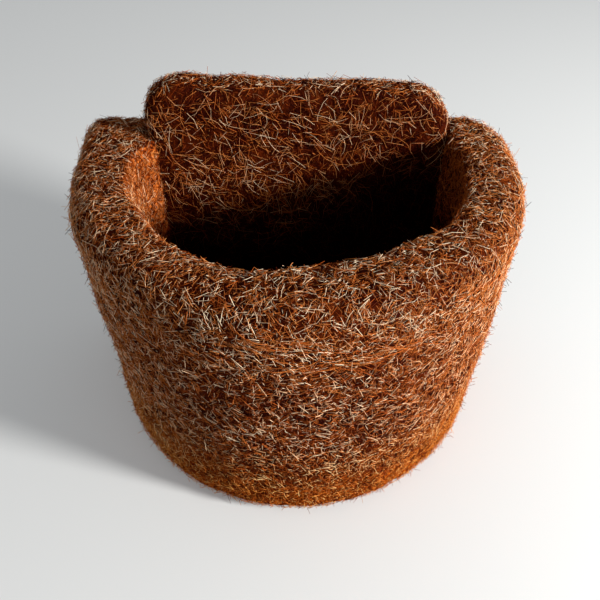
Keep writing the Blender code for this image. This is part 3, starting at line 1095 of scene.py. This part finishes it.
# %% The band's ten pieces
BAND_PIECES = 10
BAND_CENTRE = 30 * MM                  # towards the back, where the D's bend has its middle


def along_band(starts):
    """How far round the band a point is, from the right end over the front to the left end."""
    angle = np.arctan2(BAND_CENTRE - starts[:, 1], starts[:, 0])
    return np.where(angle < -math.pi / 2, angle + 2 * math.pi, angle)


total = 0
tree, traits = lay(wall_bed, band_density, band_traits)
where = along_band(traits["start"])
borders = np.quantile(where, np.linspace(0, 1, BAND_PIECES + 1))
piece_numbers = np.searchsorted(borders[1:-1], where)
for number in range(BAND_PIECES):
    total += finish_fibres(f"wall_fibres_{number + 1}", tree, traits,
                           piece_numbers == number)

# %% [markdown]
# ## The back panel
#
# The panel's front is the darkest face: a dark mat, with a quarter of its fibres rusty, and bright
# single threads lying loose on it, some of them in long loops. Its fibres lean to the right and
# down. Its back lies on the wall and carries fewer than half as many, and the edges that the band
# holds carry none.

# %% Where the panel's fibres are
PANEL_DENSITY = 2.00
PANEL_BACK_DENSITY = 0.40
PANEL_UNDER_DENSITY = 0.1
PANEL_FADE = (85 * MM, 45 * MM)


def panel_density(centres, normals):
    density = np.full(len(centres), PANEL_DENSITY)
    density[held_edges(centres, normals)] = 0.0
    front = normals[:, 1] < -FACING
    density[front] = mouth_density(PANEL_DENSITY, PANEL_FADE, centres[:, 2])[front]
    density[pitted(centres) & front] *= PIT_DENSITY
    density[normals[:, 1] > FACING] *= PANEL_BACK_DENSITY
    density[normals[:, 2] < -FACING] *= PANEL_UNDER_DENSITY
    return density


# %% What the panel's fibres are like
PANEL_LEAN = np.array([0.55, 0.0, -0.83])
PANEL_FACING = 0.4
FRONT_TINT, FRONT_SHADE = 0.36, 0.8
FRONT_ORDER, THREAD_ORDER = 0.3, 0.4
RUSTY_SHARE = 0.27
RUSTY_TINTS = (0.36, 0.74)
THREAD_SHARE = 0.04
THREAD_TINTS = (0.68, 0.98)
THREAD_LENGTHS = (3 * MM, 12 * MM)
THREAD_RADII = (0.06 * MM, 0.095 * MM)
LOOP_SHARE = 0.05                      # of the threads
LOOP_LENGTHS = (14 * MM, 26 * MM)
LOOP_CURLS = (-2.5, 2.5)
LOOP_TINTS = (0.55, 0.80)


def panel_traits(starts, up):
    traits = common_traits(starts, up)
    count = len(starts)
    front = up[:, 1] < -PANEL_FACING
    kind = draws(count, 0, 1)
    threads = front & (kind < THREAD_SHARE)
    rusty = front & (kind > 1 - RUSTY_SHARE)
    traits["tint"][front] *= FRONT_TINT
    traits["shade"][front & ~rusty] *= FRONT_SHADE
    redraw(traits, "tint", rusty, RUSTY_TINTS)
    redraw(traits, "tint", threads, THREAD_TINTS)
    redraw(traits, "length", threads, THREAD_LENGTHS)
    redraw(traits, "radius", threads, THREAD_RADII)
    loops = threads & (draws(count, 0, 1) < LOOP_SHARE)
    redraw(traits, "length", loops, LOOP_LENGTHS)
    redraw(traits, "curl", loops, LOOP_CURLS)
    redraw(traits, "tint", loops, LOOP_TINTS)
    traits["layer"][threads] = TOP
    traits["shade"][threads] = mouth_shade(starts, up)[threads]
    traits["order"] = np.where(threads, THREAD_ORDER, np.where(front, FRONT_ORDER, 0.0))
    traits["grain"] = np.tile(PANEL_LEAN, (count, 1))
    traits["radius"][up[:, 1] > BACK_FACING] *= BACK_THICKER
    return traits


# %% The panel's three pieces
PANEL_SPLIT = 0.35                     # faces that look further back than this are its back

tree, traits = lay(panel_bed, panel_density, panel_traits)
front_half = traits["up"][:, 1] < PANEL_SPLIT
left_half = traits["start"][:, 0] < 0
panel_pieces = {
    "panel_front_fibres_1": front_half & left_half,
    "panel_front_fibres_2": front_half & ~left_half,
    "panel_back_fibres": ~front_half,
}
for name, keep in panel_pieces.items():
    total += finish_fibres(name, tree, traits, keep)

# %% [markdown]
# ## The wire bail
#
# The bail at the back is galvanised wire. Its shape in the CAD model is right, so that node stays
# and only gets a material. Hot zinc sets in spangles, small crystals that are lighter or darker and
# smoother or rougher than their neighbours, so one noise drives both the colour and the roughness.

# %% Galvanised wire
SPANGLE_SCALE, SPANGLE_DETAIL = 700.0, 3.0
ZINC_STOPS = (
    (0.35, (0.40, 0.41, 0.42)),
    (0.65, (0.66, 0.67, 0.68)),
)
ZINC_ROUGHNESS = (0.32, 0.55)


def zinc_material():
    material, tree, shader = new_material("galvanised_wire")
    shader.inputs["Metallic"].default_value = 1.0
    spangle = add_noise(tree, SPANGLE_SCALE, SPANGLE_DETAIL)
    tree.links.new(add_ramp(tree, spangle, ZINC_STOPS), shader.inputs["Base Color"])
    rough = add_range(tree, spangle, target=ZINC_ROUGHNESS)
    tree.links.new(rough, shader.inputs["Roughness"])
    return material


for material_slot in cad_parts["wire_hanger"].material_slots:
    material_slot.material = zinc_material()
    print("wire_hanger:", material_slot.material.name)

# %% [markdown]
# ## The floor pad
#
# Only a look straight down into the mouth shows the pad. So it is thinly covered, with longer and
# thicker fibres, and its sides, which touch the band and the panel, carry none.

# %% Fibres of the floor pad
PAD_TOP_DENSITY, PAD_UNDER_DENSITY = 0.50, 0.12
PAD_LONGER, PAD_THICKER = 1.2, 1.4


def base_density(centres, normals):
    under = np.where(normals[:, 2] < -FACING, PAD_UNDER_DENSITY, 0.0)
    return np.where(normals[:, 2] > FACING, PAD_TOP_DENSITY, under)


def base_traits(starts, up):
    traits = common_traits(starts, up)
    traits["length"] *= PAD_LONGER
    traits["radius"] *= PAD_THICKER
    traits["shade"] = PAD_SHADE * lay_shade(traits["layer"])
    return traits


tree, traits = lay(base_bed, base_density, base_traits)
total += finish_fibres("base_fibres", tree, traits,
                       np.ones(len(traits["start"]), dtype=bool))
print("fibres in all:", total, "triangles")
